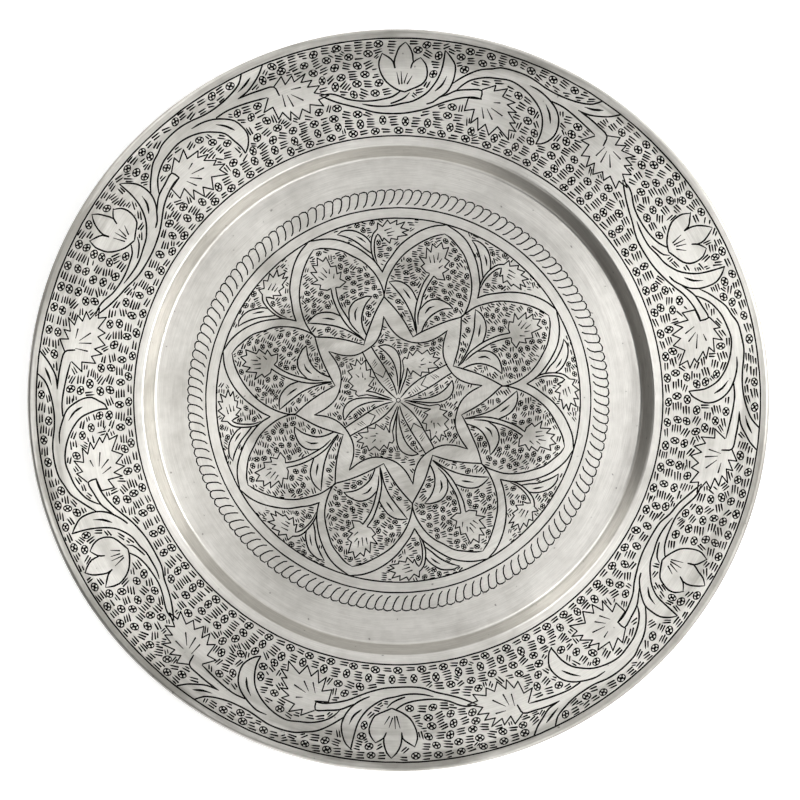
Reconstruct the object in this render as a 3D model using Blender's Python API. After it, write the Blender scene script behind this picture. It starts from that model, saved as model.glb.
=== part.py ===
"""Offering plate: one round sheet turned over a former, with a wired edge.

The plate has a flat-bottomed well, a steep wall and a broad rim that rises gently to a
rolled bead. A wire ring lies inside the bead and stiffens it.

Origin: centre of the flat underside, on the surface that the plate stands on.
+Z runs up the axis that the plate is turned about. Lengths are in metres.
"""
import math

import bmesh
import bpy

# Driving dimensions
PLATE_RADIUS = 0.1525          # half of 12 inches
PLATE_HEIGHT = 0.0165          # from the underside to the top of the bead
SHEET = 0.0008                 # thickness of the metal
FLAT_FLOOR_RADIUS = 0.0925     # the floor is flat out to about here
WALL_FOOT_RADIUS = 0.1008      # where the floor meets the wall
WALL_TOP_RADIUS = 0.1048       # where the wall meets the rim
FLOOR_LIFT = 0.0006            # how far the floor rises between its flat and the wall
RIM_RISE = 0.003               # how far the rim rises from the wall to the bead
FLOOR_BEND = 0.040             # bend radii, on the upper side of the sheet
FOOT_BEND = 0.0018
SHOULDER_BEND = 0.0014
WIRE_RADIUS = 0.0005
WIRE_GAP = 0.0002              # clearance between the wire and the roll around it
ROLL_END = math.radians(-265)  # direction in which the rolled sheet ends

# Steps of the turned shapes
TURN_STEPS = 72
FLOOR_BEND_STEPS = 2
FOOT_BEND_STEPS = 4
SHOULDER_BEND_STEPS = 4
ROLL_STEPS = 14
ROLL_STEP_ANGLE = math.radians(-18)
WIRE_SIDES = 8

# Worked out from the dimensions above
BEAD_RADIUS = WIRE_RADIUS + WIRE_GAP + SHEET
BEAD_CENTRE_RADIUS = PLATE_RADIUS - BEAD_RADIUS
BEAD_CENTRE_HEIGHT = PLATE_HEIGHT - BEAD_RADIUS
FLOOR_HEIGHT = SHEET
SHOULDER_HEIGHT = PLATE_HEIGHT - RIM_RISE

SILVER = ((0.60, 0.585, 0.555, 1.0), 0.34, 1.0)
IRON = ((0.30, 0.29, 0.28, 1.0), 0.55, 1.0)


def clear_scene():
    for thing in list(bpy.data.objects):
        bpy.data.objects.remove(thing, do_unlink=True)


def metal(name, colour, roughness, metallic):
    material = bpy.data.materials.new(name)
    material.use_nodes = True
    shader = material.node_tree.nodes["Principled BSDF"]
    shader.inputs["Base Color"].default_value = colour
    shader.inputs["Roughness"].default_value = roughness
    shader.inputs["Metallic"].default_value = metallic
    material.diffuse_color = colour
    return material


def heading(start, end):
    return math.atan2(end[1] - start[1], end[0] - start[0])


def bend(corner, turn_from, turn_to, radius, steps):
    """Samples (r, z, direction) of the arc that rounds a corner of the upper side."""
    side = 1 if turn_to > turn_from else -1
    run_in = radius * math.tan(abs(turn_to - turn_from) / 2)
    centre_r = corner[0] - run_in * math.cos(turn_from) - side * radius * math.sin(turn_from)
    centre_z = corner[1] - run_in * math.sin(turn_from) + side * radius * math.cos(turn_from)
    samples = []
    for step in range(steps + 1):
        direction = turn_from + (turn_to - turn_from) * step / steps
        samples.append((
            centre_r + side * radius * math.sin(direction),
            centre_z - side * radius * math.cos(direction),
            direction))
    return samples


def roll(start_direction):
    """Samples of the bead, from the top of the rim down, under and back up inside."""
    directions = [start_direction]
    directions += [ROLL_STEP_ANGLE * step for step in range(ROLL_STEPS + 1)]
    directions.append(ROLL_END)
    samples = []
    for direction in directions:
        samples.append((
            BEAD_CENTRE_RADIUS - BEAD_RADIUS * math.sin(direction),
            BEAD_CENTRE_HEIGHT + BEAD_RADIUS * math.cos(direction),
            direction))
    return samples


def upper_side():
    """The sheet's upper side from the centre out to the end of the roll."""
    floor_edge = (FLAT_FLOOR_RADIUS, FLOOR_HEIGHT)
    foot = (WALL_FOOT_RADIUS, FLOOR_HEIGHT + FLOOR_LIFT)
    shoulder = (WALL_TOP_RADIUS, SHOULDER_HEIGHT)
    bead_top = (BEAD_CENTRE_RADIUS, PLATE_HEIGHT)
    floor_slope = heading(floor_edge, foot)
    wall_slope = heading(foot, shoulder)
    rim_slope = heading(shoulder, bead_top)
    samples = [(0.0, FLOOR_HEIGHT, 0.0)]
    samples += bend(floor_edge, 0.0, floor_slope, FLOOR_BEND, FLOOR_BEND_STEPS)
    samples += bend(foot, floor_slope, wall_slope, FOOT_BEND, FOOT_BEND_STEPS)
    samples += bend(shoulder, wall_slope, rim_slope, SHOULDER_BEND, SHOULDER_BEND_STEPS)
    samples += roll(rim_slope)
    return samples


def sheet_section():
    """Closed outline of the sheet: its upper side outwards, its lower side back."""
    samples = upper_side()
    upper = [(r, z) for r, z, _ in samples]
    lower = [
        (r + SHEET * math.sin(direction), z - SHEET * math.cos(direction))
        for r, z, direction in samples]
    return upper + lower[::-1]


def turned(name, outline, closed, material):
    """One object made by turning an outline of (r, z) points about the Z axis."""
    form = bmesh.new()
    points = [form.verts.new((r, 0.0, z)) for r, z in outline]
    links = list(zip(points, points[1:]))
    if closed:
        links.append((points[-1], points[0]))
    edges = [form.edges.new(link) for link in links]
    bmesh.ops.spin(
        form, geom=points + edges, cent=(0, 0, 0), axis=(0, 0, 1), dvec=(0, 0, 0),
        angle=2 * math.pi, steps=TURN_STEPS, use_merge=True)
    bmesh.ops.remove_doubles(form, verts=form.verts, dist=1e-6)
    bmesh.ops.recalc_face_normals(form, faces=form.faces)
    mesh = bpy.data.meshes.new(name)
    form.to_mesh(mesh)
    form.free()
    mesh.shade_smooth()
    mesh.set_sharp_from_angle(angle=math.radians(40))
    mesh.materials.append(material)
    piece = bpy.data.objects.new(name, mesh)
    bpy.context.scene.collection.objects.link(piece)
    return piece


def plate_body():
    return turned("plate_body", sheet_section(), False, metal("silver_plate", *SILVER))


def rim_wire():
    section = []
    for side in range(WIRE_SIDES):
        angle = 2 * math.pi * side / WIRE_SIDES
        section.append((
            BEAD_CENTRE_RADIUS + WIRE_RADIUS * math.cos(angle),
            BEAD_CENTRE_HEIGHT + WIRE_RADIUS * math.sin(angle)))
    return turned("rim_wire", section, True, metal("iron_wire", *IRON))


clear_scene()
plate_body()
rim_wire()
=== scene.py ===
"""Looks of the engraved offering plate.

The plate is drawn in plan first, as an engraver would: every line, punch mark and hatch is a
closed outline with a bottom line. One triangulation turns the drawing into metal with real
grooves, which is laid on the turned section of the plate, and a black filling lies in the grooves.
Plan lengths are in millimetres until the meshes are made.
"""
import math
import random

import bpy
import numpy as np
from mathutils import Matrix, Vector
from mathutils.geometry import delaunay_2d_cdt


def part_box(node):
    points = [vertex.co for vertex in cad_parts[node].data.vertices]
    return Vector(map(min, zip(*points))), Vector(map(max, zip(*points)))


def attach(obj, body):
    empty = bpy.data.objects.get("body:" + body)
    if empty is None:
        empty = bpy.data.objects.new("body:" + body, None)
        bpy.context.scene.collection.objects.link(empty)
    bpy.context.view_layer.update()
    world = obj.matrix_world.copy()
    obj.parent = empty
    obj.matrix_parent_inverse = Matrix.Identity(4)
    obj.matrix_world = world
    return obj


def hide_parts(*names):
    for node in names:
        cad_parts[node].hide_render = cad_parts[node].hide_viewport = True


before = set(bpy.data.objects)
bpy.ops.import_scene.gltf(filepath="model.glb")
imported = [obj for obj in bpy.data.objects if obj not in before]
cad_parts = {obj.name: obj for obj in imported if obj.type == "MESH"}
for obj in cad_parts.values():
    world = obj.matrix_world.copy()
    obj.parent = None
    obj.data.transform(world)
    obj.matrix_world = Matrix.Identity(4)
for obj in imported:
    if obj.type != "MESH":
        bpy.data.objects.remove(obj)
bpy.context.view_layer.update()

MM = 0.001
hand = random.Random(1887)                   # the unevenness of work by hand, the same on each run

# ------------------------------------------------------------------ sizes

plate_low, plate_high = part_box("plate_body")
wire_low, wire_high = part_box("rim_wire")

EDGE = plate_high[0] / MM                    # outer radius of the plate
TOP = plate_high[2] / MM                     # top of the bead
WIRE = (wire_high[2] - wire_low[2]) / MM / 2
BEAD_CENTRE = wire_high[0] / MM - WIRE       # radius at which the wire lies
BEAD = EDGE - BEAD_CENTRE                    # outer radius of the roll
BEAD_HEIGHT = (wire_high[2] + wire_low[2]) / MM / 2

SHEET = 0.8
FLAT_FLOOR = 92.5
WALL_FOOT = 100.8
WALL_TOP = 104.8
FLOOR_LIFT = 0.6
RIM_RISE = 3.0
FLOOR_BEND = 40.0
FOOT_BEND = 1.8
SHOULDER_BEND = 1.4
ROLL_END = math.radians(-265)
FLOOR_RING = 90.2                            # the engraved floor ends here
RIM_RING_IN = 107.3                          # the engraved rim lies between these two
RIM_RING_OUT = 149.9
SHOULDER = TOP - RIM_RISE

ROUND = 240                                  # steps around the plate
CURVE_STEP = 1.6                             # length of a step along a curved cut

# Engraving
CUT_DEPTH = 0.14
FILL_DEPTH = 0.03                            # how far the black lies below the metal
LINE = 0.67                                  # width of the rim's cut lines
FINE = 0.61                                  # width of the medallion's cut lines
STAR_LINE = 0.57                             # width of the lines in the star
HATCH = 0.42                                 # width of the strokes across the star's straps
ROPE = 0.52                                  # width of the rope's cuts
OUTER_BORDER = 148.8
INNER_BORDER = 108.8
ROPE_LINE = 79.5
MEDALLION = 75.2
BORDERS = (                                  # radius, width, runs of the graver
    (OUTER_BORDER, 0.6, 24), (INNER_BORDER, 0.58, 18), (ROPE_LINE, 0.56, 14), (MEDALLION, 0.58, 14))
RIM_REPEATS = 6
PETALS = 8
ROPE_TURNS = 144
FIRST_REPEAT = 89.4                          # directions, counter-clockwise from +X in degrees
FIRST_PETAL = 74.9
FIRST_ARC = 77.4                             # of the star's outline
FIRST_STRAP = 117                            # of the cross in the star

# How far punch marks stay away from a cut
CLEAR = 0.36
LEAF_CLEAR = 0.28
FINE_CLEAR = 0.16
STAR_CLEAR = 0.15
RING_CLEAR = 0.4
BORDER_CLEAR = 0.6

# Punch marks
MARK_ROWS = 10                               # rows of marks on the rim
FIRST_ROW = 110.75
LAST_ROW = 146.7
MARK_PITCH = 4.6                             # between two marks of a row
GAP_PITCH = 2.3                              # between two places that are tried for a gap
RIM_GAP_MARK = 3.2, 1.0, 0.6                 # length, spacing and width of the strokes there
FINE_MARK = 3.0                              # marks shorter than this are made simpler
PETAL_MARK = 2.7                             # length of a mark, then the pitch of the marks
PETAL_PITCH = 3.15
STAR_MARK = 2.6
STAR_PITCH = 3.0
FINE_GAP_MARK = 2.3, 0.85, 0.5

# Studio
SOFTBOX_DISTANCE = 1.5
CAMERA_HEIGHT = 3.0


# ------------------------------------------------------------------ the drawing

class Sheet:
    """One engraved zone of the plate in plan, ready to be triangulated."""

    def __init__(self):
        self.points = []
        self.edges = []
        self.outlines = []
        self.islands = set()

    def chain(self, points, closed=False):
        first = len(self.points)
        self.points += [tuple(p) for p in points]
        last = len(self.points) - 1
        self.edges += [(i, i + 1) for i in range(first, last)]
        if closed:
            self.edges.append((last, first))
        return first

    def outline(self, points, island=False):
        """A closed outline, kept counter-clockwise. An island is metal left inside a mark."""
        area = sum(
            a[0] * b[1] - b[0] * a[1] for a, b in zip(points, points[1:] + points[:1]))
        if area < 0:
            points = points[::-1]
        first = len(self.points)
        self.points += [tuple(p) for p in points]
        if island:
            self.islands.add(len(self.outlines))
        self.outlines.append(list(range(first, len(self.points))))


class Ground:
    """Map of where the plate's ground is still open for punch marks."""

    CELL = 0.15
    HALF = 153.0

    def __init__(self):
        self.across = int(2 * self.HALF / self.CELL)
        self.open = np.zeros((self.across, self.across), bool)

    def window(self, points, margin):
        """Cells around some points: their two slices and the coordinates of their centres."""
        points = np.asarray(points)
        low = ((points.min(0) - margin + self.HALF) / self.CELL).astype(int).clip(0)
        high = ((points.max(0) + margin + self.HALF) / self.CELL).astype(int) + 1
        rows = slice(low[1], high[1])
        columns = slice(low[0], high[0])
        x = (np.arange(low[0], min(high[0], self.across)) + 0.5) * self.CELL - self.HALF
        y = (np.arange(low[1], min(high[1], self.across)) + 0.5) * self.CELL - self.HALF
        return rows, columns, x[None, :], y[:, None]

    def area(self, outline, is_open):
        """Opens or closes the inside of an outline."""
        rows, columns, x, y = self.window(outline, 0.0)
        inside = np.zeros(np.broadcast(x, y).shape, bool)
        for a, b in zip(outline, list(outline[1:]) + [outline[0]]):
            if a[1] == b[1]:
                continue
            crossing = (a[1] > y) != (b[1] > y)
            inside ^= crossing & (x < (b[0] - a[0]) * (y - a[1]) / (b[1] - a[1]) + a[0])
        self.open[rows, columns][inside] = is_open

    def close_line(self, points, clearance):
        for a, b in zip(points, points[1:]):
            rows, columns, x, y = self.window([a, b], clearance)
            run = (b[0] - a[0], b[1] - a[1])
            length = max(run[0] ** 2 + run[1] ** 2, 1e-9)
            along = ((x - a[0]) * run[0] + (y - a[1]) * run[1]) / length
            along = along.clip(0, 1)
            away = (x - a[0] - along * run[0]) ** 2 + (y - a[1] - along * run[1]) ** 2
            self.open[rows, columns][away < clearance ** 2] = False

    def is_free(self, points):
        for x, y in points:
            if not self.open[int((y + self.HALF) / self.CELL), int((x + self.HALF) / self.CELL)]:
                return False
        return True


floor_sheet = Sheet()
rim_sheet = Sheet()
ground = Ground()


def polar(radius, angle):
    return radius * math.cos(angle), radius * math.sin(angle)


def sheet_at(point):
    return floor_sheet if math.hypot(point[0], point[1]) < FLOOR_RING else rim_sheet


def smooth(points):
    """Points along a smooth curve through the given ones."""
    points = [np.array(p, float) for p in points]
    if len(points) < 3:
        return [tuple(p) for p in points]
    time = [0.0]
    for a, b in zip(points, points[1:]):
        time.append(time[-1] + max(float(np.hypot(*(b - a))), 1e-6))
    slopes = []
    last = len(points) - 1
    for i in range(len(points)):
        a, b = max(i - 1, 0), min(i + 1, last)
        slopes.append((points[b] - points[a]) / (time[b] - time[a]))
    curve = [tuple(points[0])]
    for i in range(last):
        span = time[i + 1] - time[i]
        pieces = max(1, round(span / CURVE_STEP))
        for k in range(1, pieces + 1):
            s = k / pieces
            here = (
                points[i] * (2 * s ** 3 - 3 * s ** 2 + 1)
                + slopes[i] * span * (s ** 3 - 2 * s ** 2 + s)
                + points[i + 1] * (3 * s ** 2 - 2 * s ** 3)
                + slopes[i + 1] * span * (s ** 3 - s ** 2))
            curve.append(tuple(here))
    return curve


def groove(path, width, start=0.45, end=0.8):
    """One cut of the graver: it enters thin, swells, and is broken off blunt."""
    path = np.array(path)
    runs = np.diff(path, axis=0)
    lengths = np.hypot(runs[:, 0], runs[:, 1])
    along = np.concatenate([[0], np.cumsum(lengths)])
    ahead = np.vstack([runs[:1], path[2:] - path[:-2], runs[-1:]])
    ahead /= np.hypot(ahead[:, 0], ahead[:, 1])[:, None]
    side = np.column_stack([-ahead[:, 1], ahead[:, 0]])
    total = along[-1]
    swell = np.minimum(1, start + (1 - start) * along / min(4 * width, total / 2))
    fade = np.minimum(1, end + (1 - end) * (total - along) / min(2 * width, total / 2))
    uneven = np.array([1 + hand.uniform(-0.10, 0.10) for _ in along])
    half = (width / 2 * np.minimum(swell, fade) * uneven)[:, None]
    left = path + side * half
    right = path - side * half
    tip = path[0] - ahead[0] * half[0] * 1.5
    tail = path[-1] + ahead[-1] * half[-1] * 0.6
    sheet = sheet_at(path[0])
    sheet.outline([tuple(p) for p in [tip, *right, tail, *left[::-1]]])
    sheet.chain(path)


def dash(start, end, width):
    """A short hatch stroke: it enters thin and is broken off blunt."""
    run = (end[0] - start[0], end[1] - start[1])
    length = math.hypot(*run)
    ahead = (run[0] / length, run[1] / length)
    half = width / 2

    def at(along, aside):
        return (
            start[0] + run[0] * along - ahead[1] * aside * half,
            start[1] + run[1] * along + ahead[0] * aside * half)

    sheet = sheet_at(start)
    if length > 2.5:
        sheet.outline([
            start, at(0.3, -0.85), at(0.97, -1), at(1.02, 0), at(0.97, 1), at(0.3, 0.85)])
        sheet.chain([at(0.3, 0), at(0.85, 0)])
    else:
        sheet.outline([start, at(0.4, -0.9), at(1, -0.8), at(1, 0.8), at(0.4, 0.9)])
        sheet.points.append(at(0.6, 0))


def cut(place, points, width=LINE, straight=False, keep_clear=CLEAR, start=0.45, end=0.8):
    """Draws a line through points given in a motif's own frame."""
    shaky = [(a + hand.gauss(0, 0.06), b + hand.gauss(0, 0.06)) for a, b in points]
    path = [place(a, b) for a, b in shaky]
    if straight:
        for a, b in zip(path, path[1:]):
            groove([a, b], width, start, end)
    else:
        path = smooth(path)
        groove(path, width, start, end)
    ground.close_line(path, width / 2 + keep_clear)


def cut_all(place, lines, **shape):
    for line in lines:
        cut(place, line, **shape)


def vein(place, points, width, end=0.3):
    """A short cut that swells in its middle and is thin at both ends."""
    cut(place, points, width=width, start=0.15, end=end)


def keep_plain(place, points, is_open=False):
    """Keeps punch marks out of the inside of a motif, or lets them in again."""
    ground.area([place(a, b) for a, b in points], is_open)


def around(axis):
    """Frame of a rim motif: degrees clockwise from an axis, and the radius."""
    return lambda turn, radius: polar(radius, math.radians(axis - turn))


def facing(axis):
    """Frame of a medallion motif: sideways, clockwise, and outwards along an axis."""
    angle = math.radians(axis)
    out = (math.cos(angle), math.sin(angle))
    aside = (out[1], -out[0])

    def place(sideways, outwards):
        return (
            aside[0] * sideways + out[0] * outwards,
            aside[1] * sideways + out[1] * outwards)
    return place


def ring(radius, width, arcs):
    """A full circle, cut in several runs of the graver."""
    for k in range(arcs):
        begin = 360 * k / arcs - 0.4
        stop = 360 * (k + 1) / arcs + 0.4
        steps = math.ceil(math.radians(stop - begin) * radius / (2 * CURVE_STEP))
        path = []
        for i in range(steps + 1):
            angle = math.radians(begin + (stop - begin) * i / steps)
            path.append(polar(radius + hand.gauss(0, 0.03), angle))
        groove(path, width, 0.7, 0.8)
        ground.close_line(path, width / 2 + RING_CLEAR)


# ------------------------------------------------------------------ punch marks

def mark_frame(x, y, heading):
    """Frame of a punch mark: along its heading and across it."""
    c, s = math.cos(heading), math.sin(heading)
    return lambda along, across: (x + along * c - across * s, y + along * s + across * c)


def rosette_rim(x, y, heading, length, scale=1.0, points=14):
    """The oval around a rosette, as points."""
    place = mark_frame(x, y, heading)
    rim = []
    for k in range(points):
        angle = 2 * math.pi * (k + 0.5) / points
        rim.append(place(scale * length / 2 * math.cos(angle), scale * length * 0.39 * math.sin(angle)))
    return rim


def rosette(x, y, heading, length):
    """A punched oval with four petals standing in it."""
    c, s = math.cos(heading), math.sin(heading)
    sheet = sheet_at((x, y))
    fine = length < FINE_MARK

    def at(a, b):
        return x + length * (a * c - b * s), y + length * (a * s + b * c)

    sheet.outline(rosette_rim(x, y, heading, length, points=10 if fine else 12))
    broad = 0.85 if fine else 1.0
    petals = (
        (0.29, 0, 0.12, 0.16), (-0.29, 0, 0.12, 0.16),
        (0, 0.20, 0.165, 0.115), (0, -0.20, 0.165, 0.115))
    corners = 4
    for a, b, wide, tall in petals:
        a += hand.gauss(0, 0.012)
        b += hand.gauss(0, 0.012)
        turn = hand.uniform(0, math.pi)
        sheet.outline([
            at(a + broad * wide * math.cos(turn + 2 * math.pi * k / corners),
               b + broad * tall * math.sin(turn + 2 * math.pi * k / corners))
            for k in range(corners)], island=True)
    sheet.points.append(at(0, 0))
    if not fine:
        for a, b in ((0.44, 0), (-0.44, 0), (0.2, 0.19), (-0.2, 0.19), (0.2, -0.19), (-0.2, -0.19)):
            sheet.points.append(at(a, b))


def try_rosette(x, y, heading, length):
    if not ground.is_free([(x, y)]):
        return False
    test = rosette_rim(x, y, heading, length, 1.0, 12)
    test += rosette_rim(x, y, heading, length, 0.55, 6)
    if not ground.is_free(test):
        return False
    rosette(x, y, heading, length)
    ground.area(rosette_rim(x, y, heading, length, 1.16), False)
    return True


def try_dashes(x, y, heading, length, count, gap, width):
    """A few short parallel strokes. Each one is kept only where there is room for it."""
    if not ground.is_free([(x, y)]):
        return False
    place = mark_frame(x, y, heading)
    kept = []
    for k in range(count):
        across = (k - (count - 1) / 2) * gap + hand.gauss(0, 0.04 * gap)
        shift = hand.gauss(0, 0.06 * length)
        long = length * hand.uniform(0.86, 1.1)
        skew = hand.gauss(0, 0.03)
        for share in (1.0, 0.78, 0.6):
            reach = long * share / 2
            ends = [place(a, across + a * skew) for a in (-reach + shift, reach + shift)]
            test = [
                tuple(a + (b - a) * t for a, b in zip(*ends))
                for t in (0, 0.2, 0.4, 0.6, 0.8, 1)]
            if ground.is_free(test):
                kept.append(ends)
                break
    if len(kept) < 2 and count > 1:
        return False
    for ends in kept:
        dash(*ends, width * hand.uniform(0.85, 1.1))
    for ends in kept:
        ground.close_line(ends, gap * 0.5)
    return True


def punch(x, y, heading, is_rosette, length, strokes, reach):
    """Sets one mark near a place, moving or turning it where a line is in the way."""
    width = length * (0.17 if length > FINE_MARK else 0.215)
    gap = length * (0.275 if length > FINE_MARK else 0.35)
    shifts = [(0, 0)]
    for away in (0.5 * reach, reach):
        shifts += [polar(away, math.pi * k / 3 + heading) for k in range(6)]
    for dx, dy in shifts:
        for turn in (0, 0.5, -0.5, 1.2, -1.2, 1.57):
            if is_rosette:
                done = try_rosette(x + dx, y + dy, heading + turn, length)
            else:
                done = try_dashes(
                    x + dx, y + dy, heading + turn, 0.95 * length, strokes, gap, width)
            if done:
                return True
    return False


def fill_gap(x, y, heading, turns, length, gap, width):
    """Three strokes where the marks have left a gap, turned to suit it."""
    for turn in turns:
        if try_dashes(x, y, heading + turn, length, 3, gap, width):
            return


def fill_rim():
    """Rows of rosettes and dash groups, laid in running bond, on the rim's ground."""
    for row in range(MARK_ROWS):
        radius = FIRST_ROW + (LAST_ROW - FIRST_ROW) * row / (MARK_ROWS - 1)
        marks = 2 * round(math.pi * radius / MARK_PITCH)
        for k in range(marks):
            here = radius + hand.gauss(0, 0.18)
            angle = 2 * math.pi * (k + hand.gauss(0, 0.04)) / marks + 0.7 * row
            x, y = polar(here, angle)
            heading = angle + math.pi / 2 + hand.gauss(0, 0.10 if row in (0, 1, MARK_ROWS - 1) else 0.3)
            is_rosette = (k + row) % 2 == 0
            if is_rosette and row == 1:
                heading += math.pi / 2
            strokes = 2 if row == 0 else 4 if row == 1 else hand.choice((3, 3, 3, 4))
            size = hand.uniform(3.75, 4.1)
            if not punch(x, y, heading, is_rosette, size, strokes, 1.3) and is_rosette:
                punch(x, y, heading, False, size, 3, 0.8)
    rows = 2 * MARK_ROWS
    for row in range(rows):
        radius = FIRST_ROW + (LAST_ROW - FIRST_ROW) * row / (rows - 1)
        marks = round(2 * math.pi * radius / GAP_PITCH)
        for k in range(marks):
            angle = 2 * math.pi * k / marks
            x, y = polar(radius, angle)
            fill_gap(x, y, angle + math.pi / 2, (0, 0.6, -0.6, 1.57), *RIM_GAP_MARK)


def fill_patch(place, low, high, size, pitch):
    """Staggered marks over a box of a medallion motif's frame."""
    row = 0
    v = low[1]
    while v < high[1]:
        u = low[0] + (row % 2) * pitch / 2
        column = 0
        while u < high[0]:
            x, y = place(u + hand.gauss(0, 0.15), v + hand.gauss(0, 0.15))
            heading = math.atan2(y, x) + math.pi / 2 + hand.choice((0, 0, 0, 0.5, -0.5))
            length = size * hand.uniform(0.94, 1.06)
            is_rosette = (row + column) % 2 == 0
            punch(x, y, heading, is_rosette, length, hand.choice((3, 3, 4)), 0.7)
            u += pitch
            column += 1
        v += pitch * 0.92
        row += 1
    v = low[1]
    while v < high[1]:
        u = low[0]
        while u < high[0]:
            x, y = place(u, v)
            fill_gap(x, y, math.atan2(y, x) + math.pi / 2, (0, 0.7, -0.7), *FINE_GAP_MARK)
            u += 0.8 * size
        v += 0.7 * size


# ------------------------------------------------------------------ the rim's vine

TULIP_LEFT = [(-3.3, 142.7), (-3.87, 139.6), (-3.91, 137.1), (-3.53, 134.1), (-2.74, 131.0),
              (-1.4, 128.5), (-0.28, 127.4), (0.62, 126.8)]
TULIP_RIGHT = [(3.2, 141.1), (4.1, 138.6), (4.39, 135.6), (4.21, 132.5), (3.54, 130.0),
               (2.19, 128.3), (0.62, 126.8)]
TULIP_LEFT_FOLD = [(-3.3, 142.7), (-2.29, 140.9), (-1.51, 139.1), (-1.17, 136.6)]
TULIP_RIGHT_FOLD = [(3.2, 141.1), (1.97, 139.1), (1.47, 136.6)]
TULIP_HEART_LEFT = [(0.58, 147.1), (-0.28, 145.1), (-0.95, 142.1), (-1.28, 139.1), (-1.17, 136.6)]
TULIP_HEART_RIGHT = [(0.58, 147.1), (1.18, 145.1), (1.74, 142.1), (1.92, 140.4), (1.86, 138.8)]
TULIP_VEINS = [[(-0.9, 134.8), (-0.39, 130.0)], [(0.02, 135.1), (0.02, 130.0)],
               [(1.0, 134.6), (0.44, 130.6)], [(1.86, 133.4), (0.96, 130.1)]]
STALK_TOP = [(-15.08, 129.3), (-13.06, 128.8), (-11.72, 127.5), (-10.15, 125.5), (-7.9, 124.0),
             (-5.44, 123.6), (-3.42, 124.0), (-1.62, 125.0), (-0.28, 127.0)]
STALK_FORK = [(1.41, 126.5), (0.62, 124.5), (-0.72, 123.0), (-1.96, 122.1)]
VINE_LOW = [(-15.08, 129.2), (-12.4, 125.2), (-10.15, 122.7), (-7.9, 121.0), (-5.66, 118.9),
            (-3.42, 118.1), (-0.05, 118.0), (2.19, 118.7), (4.89, 120.4), (7.13, 122.7),
            (8.92, 125.0), (11.17, 127.0), (13.41, 128.3), (14.76, 128.4)]
SICKLE_INNER = [(-7.45, 122.6), (-5.66, 121.5), (-3.64, 121.0), (-1.85, 121.1), (-0.05, 122.0),
                (2.19, 123.2), (4.44, 126.5), (5.56, 129.5), (6.46, 133.6), (6.9, 138.6), (7.08, 144.9)]
SICKLE_OUTER = [(7.08, 144.9), (8.03, 142.9), (8.92, 139.6), (9.26, 136.1), (9.1, 132.0),
                (8.25, 128.0), (7.13, 125.5), (6.01, 123.5), (4.89, 122.4)]
SICKLE_VEIN = [(8.03, 134.8), (7.35, 131.0), (6.19, 128.0)]
LEAF_STALK = [(7.35, 125.7), (8.92, 128.0), (10.05, 129.5), (12.29, 130.8), (14.53, 131.8), (14.76, 128.4)]
VINE_TOP = [(9.04, 131.8), (10.27, 134.6), (11.84, 137.6), (13.41, 140.1), (15.21, 141.6),
            (16.49, 142.9), (18.73, 143.5), (20.97, 143.5), (22.77, 142.9), (24.56, 141.9),
            (26.58, 141.6), (28.83, 142.1), (31.07, 143.6), (32.64, 145.6), (33.65, 148.6)]
SCROLL_INNER = [(10.05, 129.5), (10.94, 132.0), (12.29, 134.8), (14.53, 137.3), (16.49, 138.3),
                (18.73, 139.1), (20.97, 138.2), (23.22, 136.1), (25.01, 133.6), (26.36, 130.5),
                (27.26, 126.0), (27.59, 122.5), (27.64, 119.5)]
SCROLL_OUTER = [(22.1, 140.2), (23.89, 139.9), (25.91, 138.3), (27.71, 136.1), (29.05, 133.1),
                (29.72, 129.5), (29.84, 126.0), (29.28, 123.0), (28.49, 120.7), (27.64, 119.5)]
SCROLL_VEIN = [(25.87, 135.9), (27.26, 133.1), (28.2, 129.8)]
FLARE = [(31.3, 140.2), (33.31, 141.1), (35.11, 143.6), (36.23, 145.6), (37.35, 148.6)]
FLARE_VEIN = [(31.86, 142.6), (33.3, 143.9), (34.77, 145.9)]
SPUR_TOP = [(31.3, 140.2), (33.31, 140.0), (35.56, 139.4), (37.69, 138.5), (38.14, 134.4)]
SPUR_LOW = [(36.01, 135.6), (32.19, 137.1), (28.83, 138.2), (26.58, 138.0)]
LOW_LEAF = [(14.6, 132.3), (16.6, 135.6), (16.7, 133.0), (18.8, 135.6), (18.3, 131.9), (20.75, 131.4),
            (19.7, 129.5), (21.7, 127.8), (20.3, 126.9), (22.3, 123.7), (21.3, 122.9), (23.0, 120.5),
            (21.6, 120.0), (22.3, 116.4), (19.4, 119.6), (18.2, 115.3), (16.9, 118.9), (15.9, 115.7),
            (15.1, 120.7), (14.0, 117.7), (14.0, 123.7), (12.2, 122.2), (12.4, 127.5), (14.8, 128.4)]
LOW_LEAF_VEINS = [[(17.2, 128.3), (18.4, 129.1)], [(17.0, 126.0), (19.5, 124.5)],
                  [(16.4, 125.2), (17.9, 121.7)], [(15.4, 125.2), (16.3, 121.2)]]
HIGH_LEAF = [(37.7, 138.5), (39.6, 141.4), (39.8, 137.8), (41.3, 140.4), (41.3, 137.7), (43.5, 139.6),
             (42.5, 136.6), (44.3, 136.2), (43.3, 133.9), (45.3, 133.3), (44.1, 131.0), (46.55, 128.5),
             (44.6, 127.8), (45.2, 124.7), (42.9, 126.8), (42.4, 123.6), (41.2, 126.1), (40.1, 122.6),
             (39.0, 126.6), (38.25, 123.2), (37.5, 127.5), (36.3, 125.5), (36.2, 131.0), (34.5, 130.5),
             (36.05, 135.2)]
HIGH_LEAF_VEINS = [[(38.6, 134.3), (38.4, 129.3)], [(39.4, 133.3), (39.8, 128.3)],
                   [(40.1, 133.2), (41.8, 129.4)], [(40.3, 135.1), (42.1, 134.8)]]


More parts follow.
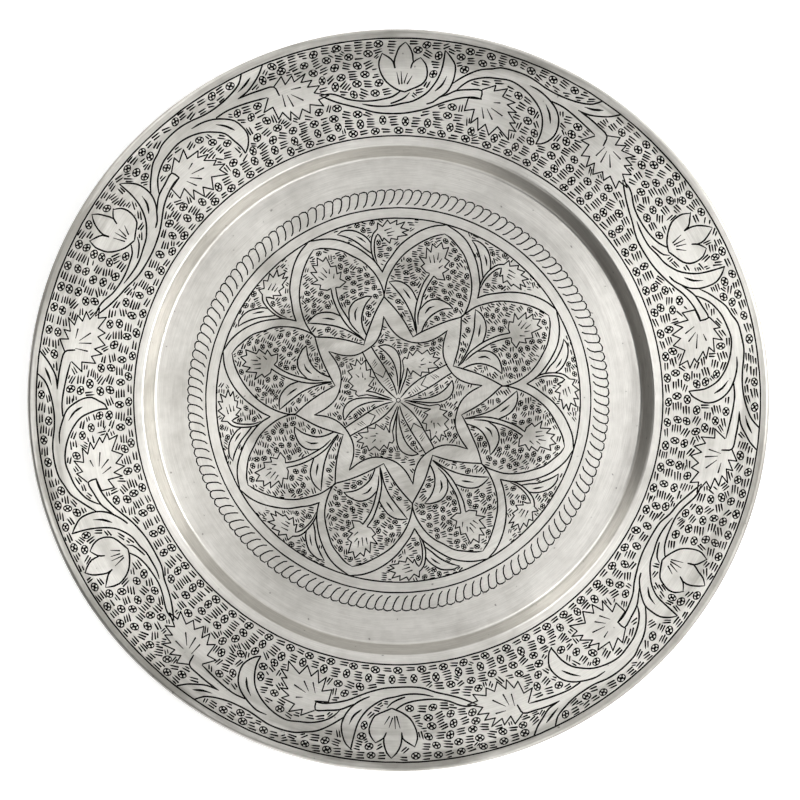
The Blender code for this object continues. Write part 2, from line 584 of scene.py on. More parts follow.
def tulip(place):
    keep_plain(place, TULIP_LEFT + TULIP_RIGHT[-2::-1] + TULIP_HEART_RIGHT[::-1] + TULIP_HEART_LEFT[1:3])
    cut_all(place, (
        TULIP_LEFT, TULIP_RIGHT, TULIP_LEFT_FOLD, TULIP_RIGHT_FOLD, TULIP_HEART_LEFT, TULIP_HEART_RIGHT))
    cut_all(place, TULIP_VEINS, width=LINE * 1.1, straight=True, start=0.3)


def vine(place):
    keep_plain(place, STALK_TOP + STALK_FORK[:2] + [(0, 121.5), (-0.05, 118.0)] + VINE_LOW[5::-1])
    keep_plain(place, VINE_LOW[5:] + LEAF_STALK[4::-1] + [(4.89, 122.4), (0, 122)])
    cut_all(place, (STALK_TOP, STALK_FORK, VINE_LOW, LEAF_STALK))


def sickle(place):
    keep_plain(place, SICKLE_INNER[4:] + SICKLE_OUTER[1:])
    cut_all(place, (SICKLE_INNER, SICKLE_OUTER))
    vein(place, SICKLE_VEIN, LINE * 1.25)


def scroll(place):
    keep_plain(place, SCROLL_INNER[4:] + SCROLL_OUTER[::-1])
    keep_plain(place, (
        VINE_TOP + FLARE[::-1] + SPUR_TOP + SPUR_LOW + SCROLL_OUTER[2::-1] + SCROLL_INNER[5::-1]))
    cut_all(place, (VINE_TOP, SCROLL_INNER, SCROLL_OUTER, FLARE, SPUR_TOP, SPUR_LOW))
    vein(place, SCROLL_VEIN, LINE * 1.25)
    vein(place, FLARE_VEIN, LINE * 1.4, end=0.2)


def spiky_leaf(place, outline, veins, width=LINE):
    keep_plain(place, outline)
    cut(place, outline, width=width * 0.9, straight=True, start=0.85, end=0.9, keep_clear=LEAF_CLEAR)
    cut_all(place, veins, width=width * 1.1, straight=True, start=0.3)


def rim_repeat(axis):
    place = around(axis)
    tulip(place)
    vine(place)
    sickle(place)
    scroll(place)
    spiky_leaf(place, LOW_LEAF, LOW_LEAF_VEINS)
    spiky_leaf(place, HIGH_LEAF, HIGH_LEAF_VEINS)


# ------------------------------------------------------------------ the rope border

def rope():
    """Twisted rope: each strand hooks over the outer edge and sweeps in."""
    hook = [(-0.94, 85.9), (-0.5, 86.8), (0.5, 87.1), (1.3, 86.6), (1.5, 85.5),
            (1.08, 83.6), (0.5, 81.9), (-0.33, 80.9)]
    for k in range(ROPE_TURNS):
        place = around(90 - 360 * k / ROPE_TURNS + hand.gauss(0, 0.05))
        cut(place, hook, width=ROPE, start=0.5, end=0.85)


# ------------------------------------------------------------------ the medallion

def petal(place):
    tip = (0.6, 71.3)
    outer_left = [(0.6, 75.1), (-4.3, 73.4), (-8.8, 70.4), (-12.6, 66.6), (-16.0, 61.8), (-18.1, 57.0),
                  (-19.6, 53.0), (-20.3, 49.3)]
    outer_right = [(0.6, 75.1), (5.4, 73.5), (9.6, 71.2), (13.2, 67.9), (16.7, 63.1), (19.0, 58.0),
                   (20.3, 54.0), (20.6, 49.3)]
    inner_left = [tip, (-3.0, 69.4), (-6.8, 66.4), (-10.2, 63.0), (-13.0, 59.5), (-14.9, 56.0),
                  (-16.4, 51.8), (-17.3, 47.0), (-17.3, 43.0), (-16.9, 39.6)]
    inner_right = [tip, (3.3, 70.4), (7.0, 68.0), (10.6, 65.0), (13.3, 61.0), (15.5, 57.5), (17.0, 53.5),
                   (17.7, 50.0), (17.8, 46.0), (17.3, 42.5), (16.4, 40.0)]
    valley = (-1.0, 26.8)
    star_left = [valley, (-6.0, 32.0), (-11.2, 36.2), (-16.9, 39.8)]
    star_right = [valley, (1.8, 29.5), (6.8, 33.8), (11.2, 37.0), (16.4, 40.1)]
    stem_left = [(0.2, 28.6), (-0.6, 31.0), (-2.1, 34.5), (-3.0, 38.5), (-3.2, 42.5), (-3.0, 46.0),
                 (-2.4, 50.0), (-1.2, 53.6)]
    stem_right = [(-0.3, 32.3), (-1.2, 36.2), (-1.3, 40.0), (-1.3, 45.0), (-0.5, 49.5), (0.8, 53.3)]
    leaf = [(-1.2, 53.9), (-2.8, 53.9), (-5.3, 55.8), (-4.2, 57.2), (-7.2, 59.6), (-4.2, 59.6),
            (-5.1, 63.8), (-2.9, 62.6), (-3.1, 66.0), (-1.2, 64.9), (0.3, 67.6), (1.7, 65.2),
            (3.6, 66.2), (3.3, 61.6), (5.4, 61.0), (4.0, 58.0), (6.0, 57.6), (4.0, 55.4), (5.6, 53.0),
            (2.4, 52.5), (0.9, 53.3)]
    veins = [[(-1.5, 61.8), (-0.4, 58.7)], [(-3.1, 60.7), (-2.0, 58.4)], [(0.2, 63.1), (0.6, 60.3)],
             [(2.2, 61.3), (1.5, 59.4)], [(3.1, 58.6), (2.0, 56.9)]]
    sickle_left = [(-16.5, 46.3), (-14.0, 47.3), (-11.0, 47.5), (-8.0, 46.5), (-5.4, 44.6), (-3.3, 42.0)]
    sickle_left_low = [(-16.5, 46.2), (-13.4, 44.2), (-10.2, 41.9), (-7.0, 39.1), (-4.1, 35.8),
                       (-2.2, 32.8), (-0.9, 30.4), (0.0, 28.7)]
    sickle_right = [(-1.2, 38.2), (0.2, 41.4), (2.2, 43.4), (5.0, 44.5), (8.0, 44.2), (10.0, 43.7),
                    (11.8, 42.6)]
    sickle_right_low = [(11.8, 42.5), (8.6, 41.3), (6.1, 39.6), (3.8, 37.0), (2.4, 33.8), (1.9, 29.8)]
    inside = inner_left[::-1] + inner_right[1:] + star_right[-2::-1] + star_left[1:-1]
    keep_plain(place, inside, is_open=True)
    keep_plain(place, stem_left + stem_right[::-1])
    keep_plain(place, sickle_left + sickle_left_low[::-1])
    keep_plain(place, sickle_right + sickle_right_low + [(-0.3, 32.3)])
    cut_all(place, (
        outer_left, outer_right, inner_left, inner_right, star_left, star_right, stem_left, stem_right,
        sickle_left, sickle_left_low, sickle_right, sickle_right_low), width=FINE, keep_clear=FINE_CLEAR)
    spiky_leaf(place, leaf, veins, width=FINE)
    vein(place, [(-10.2, 45.0), (-8.3, 43.6), (-6.2, 41.8)], 0.75)
    vein(place, [(4.5, 41.6), (2.4, 40.1), (1.3, 37.4)], 0.75)
    fill_patch(place, (-17, 28), (17.5, 71), PETAL_MARK, PETAL_PITCH)


def spandrel(place):
    border = [around(90)(t, MEDALLION) for t in range(-16, 17, 2)]
    crescent = [(-16.2, 71.0), (-14.2, 72.1), (-11.2, 72.2), (-8.3, 71.4), (-5.5, 69.4), (-3.7, 67.5),
                (-2.9, 65.9)]
    crescent_low = [(-16.2, 71.0), (-13.5, 70.0), (-10.7, 68.4), (-7.9, 66.3), (-5.7, 63.9), (-3.2, 61.6)]
    stem_left = [(-1.3, 56.2), (-2.7, 59.5), (-3.1, 63.0), (-2.6, 67.0), (-1.5, 69.5), (0.4, 71.2)]
    stem_right = [(-1.3, 57.5), (-1.9, 60.5), (-1.8, 63.8), (-1.1, 67.0), (0.4, 69.2), (1.2, 68.0),
                  (1.9, 66.0)]
    leaf = [(0.4, 71.2), (0.9, 73.6), (2.8, 72.0), (5.3, 74.4), (6.0, 72.8), (9.0, 73.9), (8.6, 72.0),
            (12.1, 72.6), (10.3, 70.5), (13.3, 69.2), (10.6, 68.6), (12.4, 67.2), (8.5, 67.0),
            (8.2, 65.9), (5.6, 66.6), (4.8, 64.8), (2.7, 67.3), (1.9, 66.0)]
    veins = [[(6.4, 70.9), (3.4, 70.3)], [(7.4, 69.5), (4.2, 69.0)], [(6.6, 68.0), (4.4, 67.9)]]
    walls = [(0, 53.2), (-3.1, 57.4), (-6.6, 61.4), (-10.6, 65.1), (-14.6, 68.6), (-19.2, 71.8)]
    mirrored = [(-u, v) for u, v in walls]
    keep_plain(place, walls + border + mirrored[::-1], is_open=True)
    keep_plain(place, crescent + crescent_low[::-1])
    keep_plain(place, stem_left + stem_right[::-1])
    cut_all(place, (crescent, crescent_low, stem_left, stem_right), width=FINE, keep_clear=FINE_CLEAR)
    spiky_leaf(place, leaf, veins, width=FINE)
    vein(place, [(-8.5, 69.4), (-6.6, 68.0), (-4.9, 66.3)], 0.7)


def star_point(place):
    """The concave arc between two tips of the inner star."""
    radius, middle = 35.1, 24.6
    half = math.radians(22.5)
    tip = (radius * math.sin(half), radius * math.cos(half))
    arc = [(-tip[0], tip[1]), (-9.6, 28.2), (-5.2, 25.4), (0, middle), (5.2, 25.4), (9.6, 28.2), tip]
    cut(place, arc, width=STAR_LINE, keep_clear=FINE_CLEAR)
    return [place(a, b) for a, b in arc[:-1]]


def star_quarter(place):
    strap_left = [(-0.5, 1.2), (-2.5, 6.2), (-3.8, 12.0), (-3.9, 16.0), (-4.1, 20.5), (-4.2, 24.7)]
    strap_right = [(0.5, 2.2), (1.2, 6.0), (1.3, 11.0), (0.9, 16.3), (0.3, 20.8), (0.0, 24.8)]
    notch = [(-3.6, 14.8), (-1.3, 11.3), (1.3, 13.6)]
    crescent = [(1.4, 2.6), (4.2, 6.8), (6.7, 11.0), (8.4, 15.2), (8.6, 18.4), (7.6, 21.0), (5.4, 22.9),
                (2.7, 23.6)]
    crescent_low = [(2.4, 5.4), (3.9, 8.6), (5.0, 12.8), (5.2, 16.5), (4.4, 20.2), (2.8, 23.4)]
    stem_left = [(1.1, 2.5), (3.5, 5.1), (6.4, 8.5), (7.9, 10.4)]
    stem_right = [(1.6, 2.0), (4.4, 4.6), (7.4, 7.4), (9.4, 10.2)]
    leaf = [(7.9, 10.4), (9.0, 13.9), (10.3, 14.6), (11.2, 13.7), (13.2, 15.8), (13.7, 13.8), (16.4, 15.0),
            (17.4, 12.6), (20.2, 13.1), (20.2, 10.9), (22.7, 10.8), (20.8, 9.3), (23.0, 7.6), (20.0, 7.0),
            (20.9, 4.6), (17.0, 6.1), (16.5, 4.4), (14.0, 6.0), (12.7, 4.5), (10.9, 8.2), (9.4, 7.0),
            (9.4, 10.2)]
    veins = [[(17.0, 8.1), (15.0, 8.8)], [(17.5, 10.7), (15.8, 10.2)], [(13.7, 8.6), (14.4, 8.0)],
             [(19.4, 7.5), (18.6, 8.2)]]
    keep_plain(place, notch + [(0.3, 20.8), (0.0, 24.8), (-4.2, 24.7), (-4.1, 20.5)])
    keep_plain(place, crescent + crescent_low[::-1])
    keep_plain(place, stem_left + stem_right[::-1])
    cut_all(place, (strap_left, strap_right, crescent, crescent_low, stem_left, stem_right),
            width=STAR_LINE, keep_clear=STAR_CLEAR)
    cut(place, notch, width=STAR_LINE, straight=True, keep_clear=STAR_CLEAR)
    for k in range(3):
        cut(place, [(-3.2 + 0.1 * k, 16.4 + 0.9 * k), (-0.9, 17.5 + 0.9 * k)], width=HATCH, start=0.2)
    for k in range(4):
        cut(place, [(-2.2 + 0.3 * k, 9.6 - 1.0 * k), (0.4, 10.0 - 1.0 * k)], width=HATCH, start=0.2)
    spiky_leaf(place, leaf, veins, width=STAR_LINE)


def centre_ring():
    radius, width = 0.85, 0.36
    path = [polar(radius, 2 * math.pi * k / 9) for k in range(10)]
    groove(path[:6], width, 0.9, 0.9)
    groove(path[5:], width, 0.9, 0.9)


def medallion():
    step = 360 / PETALS
    between = [facing(FIRST_PETAL + step * (k + 0.5)) for k in range(PETALS)]
    for place in between:
        spandrel(place)
    for k in range(PETALS):
        petal(facing(FIRST_PETAL + step * k))
    for place in between:
        fill_patch(place, (-18, 54.5), (18, 74.6), STAR_MARK, STAR_PITCH)
    outline = []
    for k in range(PETALS):
        outline += star_point(facing(FIRST_ARC - step * k))
    ground.area(outline, True)
    ground.close_line(outline, RING_CLEAR)
    for k in range(4):
        star_quarter(facing(FIRST_STRAP - 90 * k))
    centre_ring()
    for k in range(4):
        fill_patch(facing(45 + 90 * k), (-17, 2.5), (17, 36), STAR_MARK, STAR_PITCH)


def draw():
    for border in BORDERS:
        ring(*border)
    outer, inner = (
        [around(0)(turn, border) for turn in range(361)] for border in (OUTER_BORDER, INNER_BORDER))
    ground.area(outer[:-1], True)
    ground.area(inner[:-1], False)
    ground.close_line(outer, BORDER_CLEAR)
    ground.close_line(inner, BORDER_CLEAR)
    for k in range(RIM_REPEATS):
        rim_repeat(FIRST_REPEAT - 360 * k / RIM_REPEATS)
    rope()
    medallion()
    fill_rim()


# ------------------------------------------------------------------ the plate's section

def heading(start, end):
    return math.atan2(end[1] - start[1], end[0] - start[0])


def bend(corner, turn_from, turn_to, radius, steps):
    """Samples (radius, height, direction) of the arc that rounds a corner of the upper side."""
    side = 1 if turn_to > turn_from else -1
    run_in = radius * math.tan(abs(turn_to - turn_from) / 2)
    centre_r = corner[0] - run_in * math.cos(turn_from) - side * radius * math.sin(turn_from)
    centre_z = corner[1] - run_in * math.sin(turn_from) + side * radius * math.cos(turn_from)
    samples = []
    for k in range(steps + 1):
        direction = turn_from + (turn_to - turn_from) * k / steps
        samples.append((
            centre_r + side * radius * math.sin(direction),
            centre_z - side * radius * math.cos(direction),
            direction))
    return samples


FLOOR_EDGE = (FLAT_FLOOR, SHEET)
FOOT = (WALL_FOOT, SHEET + FLOOR_LIFT)
SHOULDER_EDGE = (WALL_TOP, SHOULDER)
RIM_SLOPE = heading(SHOULDER_EDGE, (BEAD_CENTRE, TOP))


def rim_height(radius):
    return SHOULDER + (radius - WALL_TOP) * math.tan(RIM_SLOPE)


def wall_section(steps):
    """The upper side between the engraved floor and the engraved rim."""
    floor_slope = heading(FLOOR_EDGE, FOOT)
    wall_slope = heading(FOOT, SHOULDER_EDGE)
    samples = [(FLOOR_RING, SHEET, 0.0)]
    samples += bend(FLOOR_EDGE, 0.0, floor_slope, FLOOR_BEND, 2)
    samples += bend(FOOT, floor_slope, wall_slope, FOOT_BEND, steps)
    samples += bend(SHOULDER_EDGE, wall_slope, RIM_SLOPE, SHOULDER_BEND, steps)
    samples.append((RIM_RING_IN, rim_height(RIM_RING_IN), RIM_SLOPE))
    return samples


def roll_section(seen_step, hidden_step):
    """The bead, from the top of the rim down, under and back up to the end of the roll."""
    degrees = list(range(0, -90, -seen_step)) + list(range(-90, -255, -hidden_step))
    directions = [RIM_SLOPE, *[math.radians(d) for d in degrees], ROLL_END]
    return [
        (BEAD_CENTRE - BEAD * math.sin(d), BEAD_HEIGHT + BEAD * math.cos(d), d)
        for d in directions]


def lower_side(samples):
    return [
        (r + SHEET * math.sin(d), z - SHEET * math.cos(d), d + math.pi)
        for r, z, d in samples]


def under_section():
    """From the engraved rim over the bead, under the whole plate and in to its centre."""
    samples = [(RIM_RING_OUT, rim_height(RIM_RING_OUT), RIM_SLOPE)] + roll_section(15, 30)
    samples += lower_side(roll_section(90, 45))[::-1]
    samples.append((125.0, rim_height(125.0) - SHEET, RIM_SLOPE + math.pi))
    samples += lower_side(wall_section(3))[::-1]
    samples.append((45.0, 0.0, math.pi))
    return samples


# ------------------------------------------------------------------ meshes

class Shell:
    """Vertices and faces of the plate, with the true normal of the turned surface."""

    def __init__(self):
        self.points = []
        self.faces = []
        self.normals = []

    def add(self, x, y, z):
        self.points.append((x, y, z))
        return len(self.points) - 1


def turned_normal(x, y, direction):
    away = math.hypot(x, y) or 1.0
    return (-math.sin(direction) * x / away, -math.sin(direction) * y / away, math.cos(direction))


def circle(radius):
    return [polar(radius, 2 * math.pi * k / ROUND) for k in range(ROUND)]


def carve(shell, black, sheet, rings, height, direction):
    """Triangulates a drawing, sinks its grooves and gives the rings' vertices."""
    starts = [sheet.chain(circle(radius), closed=True) for radius in rings]
    places, _, triangles, sources, _, owners = delaunay_2d_cdt(
        [Vector(p) for p in sheet.points], sheet.edges, sheet.outlines, 0, 1e-5, True)
    plan = np.array([(p.x, p.y) for p in places])
    triangles = np.array(triangles)
    middle = plan[triangles].mean(1)
    reach = np.hypot(middle[:, 0], middle[:, 1])
    inside = np.ones(len(triangles), bool)
    if len(rings) > 1:
        angle = np.arctan2(middle[:, 1], middle[:, 0]) % (2 * math.pi / ROUND) - math.pi / ROUND
        inside = reach * np.cos(angle) > rings[0] * math.cos(math.pi / ROUND)
    cut_away = np.array([
        bool(owner) and not any(face in sheet.islands for face in owner) for owner in owners])
    deep = np.ones(len(plan), bool)
    deep[triangles[~cut_away | ~inside].ravel()] = False
    used = np.zeros(len(plan), bool)
    used[triangles[inside].ravel()] = True
    index = {}
    for i in np.nonzero(used)[0]:
        x, y = plan[i]
        z = height(math.hypot(x, y))
        index[i] = shell.add(x, y, z - (CUT_DEPTH if deep[i] else 0))
    black_index = {}
    for t in np.nonzero(inside)[0]:
        corners = [int(i) for i in triangles[t]]
        a, b, c = (plan[i] for i in corners)
        if (b[0] - a[0]) * (c[1] - a[1]) - (b[1] - a[1]) * (c[0] - a[0]) < 0:
            corners.reverse()
        shell.faces.append([index[i] for i in corners])
        if cut_away[t]:
            shell.normals.append(None)
            for i in corners:
                if i not in black_index:
                    x, y = plan[i]
                    sunk = FILL_DEPTH if deep[i] else -0.004
                    black_index[i] = black.add(x, y, height(math.hypot(x, y)) - sunk)
            black.faces.append([black_index[i] for i in corners])
        else:
            shell.normals.append([turned_normal(*plan[i], direction) for i in corners])
    found = {}
    for i, source in enumerate(sources):
        for j in source:
            found[j] = index.get(i)
    return [[found[start + k] for k in range(ROUND)] for start in starts]


def turn(shell, samples, first=None, last=None):
    """Rows of quads between two rings, or in to a point at the axis when no last ring is given."""
    rows = []
    for k, (radius, height, direction) in enumerate(samples):
        if k == 0 and first:
            rows.append(first)
        elif k == len(samples) - 1 and last:
            rows.append(last)
        else:
            rows.append([shell.add(x, y, height) for x, y in circle(radius)])
    spins = [
        [turned_normal(x, y, direction) for x, y in circle(1.0)] for _, _, direction in samples]
    for k in range(len(rows) - 1):
        for i in range(ROUND):
            j = (i + 1) % ROUND
            shell.faces.append([rows[k][i], rows[k + 1][i], rows[k + 1][j], rows[k][j]])
            shell.normals.append([spins[k][i], spins[k + 1][i], spins[k + 1][j], spins[k][j]])
    if last is None:
        centre = shell.add(0, 0, samples[-1][1])
        for i in range(ROUND):
            j = (i + 1) % ROUND
            shell.faces.append([rows[-1][i], centre, rows[-1][j]])
            shell.normals.append([spins[-1][i], (0, 0, -1), spins[-1][j]])


def add_object(name, data):
    piece = bpy.data.objects.new(name, data)
    bpy.context.scene.collection.objects.link(piece)
    return piece


def mesh_object(name, shell, material):
    mesh = bpy.data.meshes.new(name)
    points = [(x * MM, y * MM, z * MM) for x, y, z in shell.points]
    mesh.from_pydata(points, [], shell.faces)
    mesh.polygons.foreach_set("use_smooth", [True] * len(mesh.polygons))
    mesh.materials.append(material)
    if shell.normals:
        normals = []
        for polygon, given in zip(mesh.polygons, shell.normals):
            normals += given or [tuple(polygon.normal)] * polygon.loop_total
        mesh.normals_split_custom_set(normals)
    return add_object(name, mesh)


# ------------------------------------------------------------------ shader expressions

class Value:
    """A socket that takes part in Python arithmetic."""

    def __init__(self, look, socket):
        self.look = look
        self.socket = socket

    def maths(self, operation, *others):
        return self.look.node("ShaderNodeMath", {"operation": operation}, dict(enumerate((self, *others))))

    def __add__(self, other):
        return self.maths("ADD", other)

    __radd__ = __add__

    def __sub__(self, other):
        return self.maths("SUBTRACT", other)

    def __rsub__(self, other):
        return (self * -1) + other

    def __mul__(self, other):
        return self.maths("MULTIPLY", other)

    __rmul__ = __mul__


class Look:
    """The node tree of a material or of the world, made one call at a time."""

    def __init__(self, owner, shader="Principled BSDF"):
        owner.use_nodes = True
        self.owner = owner
        self.tree = owner.node_tree
        self.shader = self.tree.nodes[shader]

    def set(self, sockets, node=None):
        """Gives sockets their values or links; the main shader's when no node is named."""
        node = node or self.shader
        for name, value in sockets.items():
            if isinstance(value, Value):
                self.tree.links.new(value.socket, node.inputs[name])
            else:
                node.inputs[name].default_value = value

    def node(self, kind, settings=None, inputs=None, output=0):
        node = self.tree.nodes.new(kind)
        for name, value in (settings or {}).items():
            setattr(node, name, value)
        self.set(inputs or {}, node)
        return Value(self, node.outputs[output])

    def place(self):
        return self.node("ShaderNodeTexCoord", output="Object")

    def noise(self, vector, scale, detail=3.0, roughness=0.5):
        return self.node("ShaderNodeTexNoise", {}, {
            "Vector": vector, "Scale": scale, "Detail": detail, "Roughness": roughness})

    def ease(self, value, low, high, first=0.0, last=1.0):
        """A smooth step: first below low, last above high."""
        return self.node("ShaderNodeMapRange", {"interpolation_type": "SMOOTHSTEP"}, {
            "Value": value, "From Min": low, "From Max": high, "To Min": first, "To Max": last})

    def blend(self, share, first, second):
        return self.node(
            "ShaderNodeMix", {"data_type": "RGBA"}, {0: share, 6: first, 7: second}, output=2)

    def vector(self, operation, first, second=None, output=0):
        inputs = {0: first} if second is None else {0: first, 1: second}
        return self.node("ShaderNodeVectorMath", {"operation": operation}, inputs, output)

    def bump(self, height, strength, distance):
        return self.node(
            "ShaderNodeBump", {}, {"Height": height, "Strength": strength, "Distance": distance})


def turning_marks(look, place, fineness, spread, detail=4.0):
    """Noise drawn out around the plate's axis, as the marks of turning are."""
    flat = look.vector("MULTIPLY", place, (1, 1, 0))
    out = look.vector("LENGTH", flat, output="Value")
    unit = look.vector("NORMALIZE", flat)
    circling = look.node("ShaderNodeVectorMath", {"operation": "SCALE"}, {0: unit, "Scale": spread})
    rising = look.node("ShaderNodeCombineXYZ", {}, {"Z": out * fineness})
    return look.noise(look.vector("ADD", circling, rising), 1.0, detail, 0.6)


def rubbing_marks(look, place, fineness, spread):
    """Noise drawn out in one direction, as the marks of rubbing by hand are."""
    lean = math.radians(17)
    along = look.vector("DOT_PRODUCT", place, (math.cos(lean), math.sin(lean), 0), "Value")
    across = look.vector("DOT_PRODUCT", place, (-math.sin(lean), math.cos(lean), 0), "Value")
    drawn = look.node("ShaderNodeCombineXYZ", {}, {"X": along * spread, "Y": across * fineness})
    return look.noise(drawn, 1.0, 4.0, 0.6)


def stain(look, place, centre, size, edge):
    """A cloudy spot of tarnish around a point, with a ragged edge."""
    away = look.vector("DISTANCE", place, (centre[0] * MM, centre[1] * MM, 0.0), "Value")
    return look.ease(away + edge * (1.6 * size * MM), 1.7 * size * MM, 0.6 * size * MM)


def silver_look():
    """Silver turned in rings, with its middle rubbed one way; both are tarnished in clouds, and painted
    shade darkens the bead and the plate's left side.
    """
    look = Look(bpy.data.materials.new("tarnished silver plate with painted shade"))
    place = look.place()
    flat = look.vector("MULTIPLY", place, (1, 1, 0))
    out = look.vector("LENGTH", flat, output="Value")
    clouds = look.noise(place, 26.0, 4.0, 0.6)
    mottle = look.noise(place, 240.0, 3.0, 0.6)
    grain = look.noise(place, 1100.0, 2.0, 0.6)
    middle = look.ease(out + clouds * 0.02, 0.077, 0.069)

    rings = turning_marks(look, place, 130.0, 1.6)
    bands = turning_marks(look, place, 900.0, 3.0, 2.0)
    hairlines = look.ease(turning_marks(look, place, 4200.0, 9.0), 0.2, 0.8)
    streaks = rubbing_marks(look, place, 150.0, 14.0)
    scratches = rubbing_marks(look, place, 2600.0, 60.0)

    def side(lean, low, high):
        """A smooth step across the plate, along a direction."""
        return look.ease(look.vector("DOT_PRODUCT", place, (*lean, 0), "Value"), low, high)

    # Steps towards sides of the plate. front places painted shade on the bead, where the front softbox
    # reflects in it; back darkens the outer rim and the bead towards the top.
    back = side((-0.35, 0.94), 0.02, 0.15)
    front = side((0.82, -0.57), 0.10, 0.14)
    # Painted shade: the left half of the floor and of the wall is made darker.
    painted_shade_left = side((0.97, 0.26), 0.065, 0.0)
    # Painted shade: the left part of the plate, except a narrow ring at the wall, is made darker.
    painted_shade_far_left = side((-0.97, -0.24), 0.01, 0.09)
    from_wall = look.node("ShaderNodeMath", {"operation": "ABSOLUTE"}, {0: out - 0.103})
    # The outer rim darkened in concentric patches and the bead darkened all round, both more towards the
    # top; on the bead also painted shade at the lower right.
    edge_darkening_and_painted_shade = (
        look.ease(out, 0.125, 0.150) * look.ease(rings + back * 0.12, 0.48, 0.66)
        + look.ease(out, 0.1485, 0.1495) * (back * 0.45 + front * 1.1 + 0.12))
    centre_shade = middle * look.ease(streaks + clouds * 0.35, 0.55, 0.86, 0.12, 0.85)
    stains = 0
    for centre, size, edge, strength in (
            ((-6, 13), 11, streaks, 0.8), ((15, -8), 13, clouds, 0.5), ((-9, -19), 11, streaks, 0.5),
            ((50, 26), 12, streaks, 0.5), ((-23, 53), 12, streaks, 0.4), ((-54, 56), 13, clouds, 0.6),
            ((-57, 16), 14, streaks, 0.7), ((-40, 72), 20, rings, 0.4), ((-100, 98), 16, rings, 0.5)):
        stains = stains + stain(look, place, centre, size, edge) * strength
    unevenness = (mottle - 0.5) * 0.45 + (rings - 0.5) * 0.35 + (bands - 0.5) * 0.2
    # Tarnish in clouds, streaks and stains, together with the darkening at the edge and the painted shade
    # on the bead and on the left side.
    tarnish_and_painted_shade = look.node("ShaderNodeClamp", {}, {
        "Value": edge_darkening_and_painted_shade * 0.6 + centre_shade * 0.58 + stains + look.ease(clouds, 0.45, 0.8) * 0.35
        + painted_shade_left * look.ease(out, 0.104, 0.099) * 0.12
        + painted_shade_far_left * look.ease(from_wall, 0.002, 0.006) * 0.2
        + unevenness + 0.04})

    fresh = look.blend(hairlines, (0.62, 0.605, 0.575, 1), (0.77, 0.755, 0.72, 1))
    colour = look.blend(tarnish_and_painted_shade * 0.75, fresh, (0.27, 0.26, 0.235, 1))
    pits = look.ease(look.noise(place, 480.0, 1.0, 0.4), 0.775, 0.82)
    colour = look.blend(pits * 0.5, colour, (0.10, 0.095, 0.085, 1))
    roughness = 0.27 + tarnish_and_painted_shade * 0.12 + rings * 0.06 + grain * 0.03

    look.set({
        "Base Color": colour,
        "Metallic": 1.0,
        "Roughness": roughness,
        "Anisotropic": 0.75,
        "Anisotropic Rotation": 0.25,
        "Normal": look.bump(hairlines * 0.5 + grain * 0.2 + rings * 1.1, 0.35, 0.00006)})
    rubbed = look.node("ShaderNodeBsdfPrincipled", {}, {
        "Base Color": colour,
        "Metallic": 1.0,
        "Roughness": roughness + 0.05,
        "Normal": look.bump(scratches * 0.6 + grain * 0.2 + streaks * 2.0, 0.4, 0.00006)})
    turned = Value(look, look.shader.outputs[0])
    both = look.node("ShaderNodeMixShader", {}, {0: middle, 1: turned, 2: rubbed})
    look.set({"Surface": both}, look.tree.nodes["Material Output"])
    return look.owner


def black_look():
    look = Look(bpy.data.materials.new("black in the cuts"))
    place = look.place()
    worn = look.ease(look.noise(place, 45.0, 4.0, 0.7), 0.47, 0.72)
    grain = look.noise(place, 1500.0, 3.0, 0.6)
    look.set({
        "Base Color": look.blend(worn, (0.005, 0.0048, 0.0045, 1), (0.030, 0.028, 0.025, 1)),
        "Metallic": 0.0,
        "Roughness": 0.7 + grain * 0.2,
        "Specular IOR Level": 0.1,
        "Normal": look.bump(grain, 0.4, 0.00005)})
    return look.owner


def wire_look():
    look = Look(bpy.data.materials.new("drawn iron wire"))
    place = look.place()
    rust = look.ease(look.noise(place, 140.0, 4.0, 0.6), 0.46, 0.64)
    grain = look.noise(place, 2200.0, 2.0, 0.5)
    look.set({
        "Base Color": look.blend(rust, (0.22, 0.21, 0.20, 1), (0.16, 0.09, 0.05, 1)),
        "Metallic": 0.9,
        "Roughness": 0.5 + rust * 0.25,
        "Normal": look.bump(grain, 0.5, 0.00005)})
    return look.owner


# ------------------------------------------------------------------ making it

draw()
plate_shell = Shell()
black_shell = Shell()
(floor_ring,) = carve(plate_shell, black_shell, floor_sheet, [FLOOR_RING], lambda r: SHEET, 0.0)
rim_in, rim_out = carve(
    plate_shell, black_shell, rim_sheet, [RIM_RING_IN, RIM_RING_OUT], rim_height, RIM_SLOPE)
turn(plate_shell, wall_section(6), floor_ring, rim_in)
turn(plate_shell, under_section(), rim_out)

plate = mesh_object("engraved_plate", plate_shell, silver_look())
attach(plate, "root")
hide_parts("plate_body")

black = mesh_object("engraving_black", black_shell, black_look())
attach(black, "root")

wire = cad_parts["rim_wire"]
wire_material = wire_look()
for slot in wire.material_slots:
    slot.material = wire_material

# ------------------------------------------------------------------ floor, light and camera

def studio_floor():
    mesh = bpy.data.meshes.new("studio_floor")
    half = 4.0
    mesh.from_pydata(
        [(-half, -half, 0), (half, -half, 0), (half, half, 0), (-half, half, 0)], [], [(0, 1, 2, 3)])
    look = Look(bpy.data.materials.new("pale floor"))
    look.set({
        "Base Color": (0.95, 0.95, 0.95, 1),
        "Roughness": 0.9,
        "Emission Color": (1, 1, 1, 1),
        "Emission Strength": 0.35})
    mesh.materials.append(look.owner)
    piece = add_object("studio_floor", mesh)
    piece.location.z = -0.0002


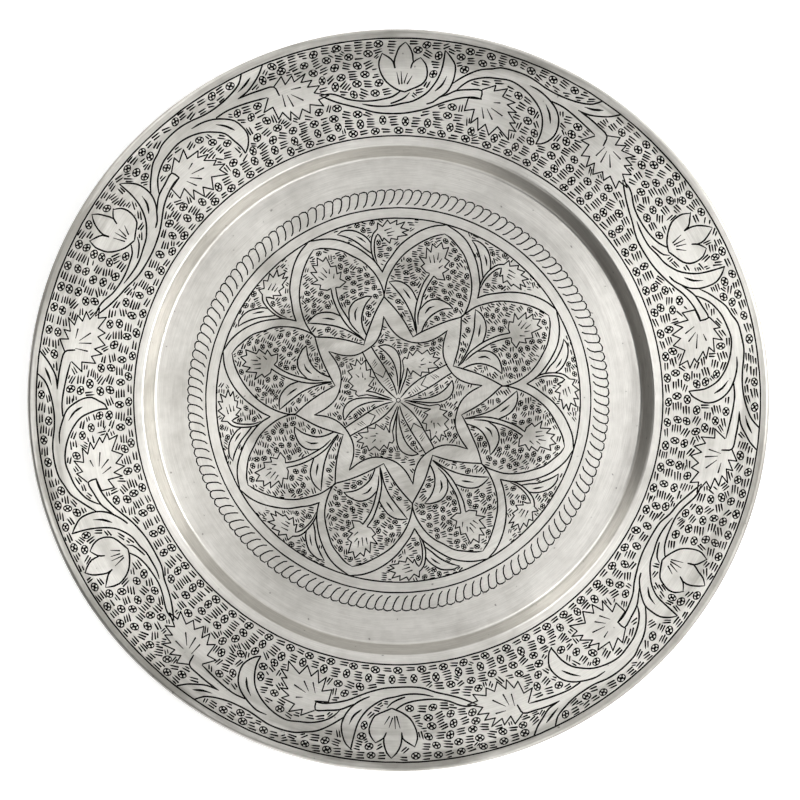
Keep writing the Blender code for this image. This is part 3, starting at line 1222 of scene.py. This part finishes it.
def direction(azimuth, elevation):
    azimuth, elevation = math.radians(azimuth), math.radians(elevation)
    return Vector((
        math.cos(elevation) * math.cos(azimuth),
        math.cos(elevation) * math.sin(azimuth),
        math.sin(elevation)))


def softbox(name, azimuth, elevation, size, brightness):
    """A rectangular diffuser that is turned towards the plate."""
    towards = direction(azimuth, elevation)
    data = bpy.data.lights.new(name, "AREA")
    data.shape = "RECTANGLE"
    data.size, data.size_y = size
    data.energy = brightness * math.pi * size[0] * size[1]
    lamp = add_object(name, data)
    lamp.location = towards * SOFTBOX_DISTANCE
    lamp.rotation_euler = towards.to_track_quat("Z", "Y").to_euler()
    lamp.visible_camera = False
    return lamp


def studio_light():
    """A white tent, brightest low down and open on the left, with four softboxes."""
    world = bpy.data.worlds.new("studio")
    tent = Look(world, "Background")
    towards = tent.node("ShaderNodeTexCoord")
    height = tent.vector("DOT_PRODUCT", towards, (0, 0, 1), "Value")
    near_gap = tent.vector("DOT_PRODUCT", towards, tuple(direction(196, 42)), "Value")
    cloth = tent.ease(height, 0.79, 0.94, 1.15, 0.22)
    tent.set({"Color": (1, 1, 1, 1), "Strength": cloth * tent.ease(near_gap, 0.73, 0.87, 1.0, 0.0)})
    bpy.context.scene.world = world
    softbox("right", 4, 47, (1.1, 0.5), 5.5)
    softbox("front", 312, 47, (1.0, 0.5), 2.6)
    softbox("back", 138, 47, (0.8, 0.5), 2.8)
    above = softbox("above", 196, 76, (0.9, 0.36), 2.6)
    above.rotation_euler = (0, 0, math.radians(27))


def studio_camera():
    data = bpy.data.cameras.new("camera")
    field = 0.3287                            # width seen at the height of the bead
    data.sensor_width = 36
    data.lens = 36 * (CAMERA_HEIGHT - plate_high[2]) / field
    data.clip_end = 20
    camera = add_object("camera", data)
    camera.location = (0.0007, 0.0001, CAMERA_HEIGHT)
    bpy.context.scene.camera = camera


bpy.context.scene.view_settings.view_transform = "Standard"
bpy.context.scene.view_settings.gamma = 0.8
studio_floor()
studio_light()
studio_camera()
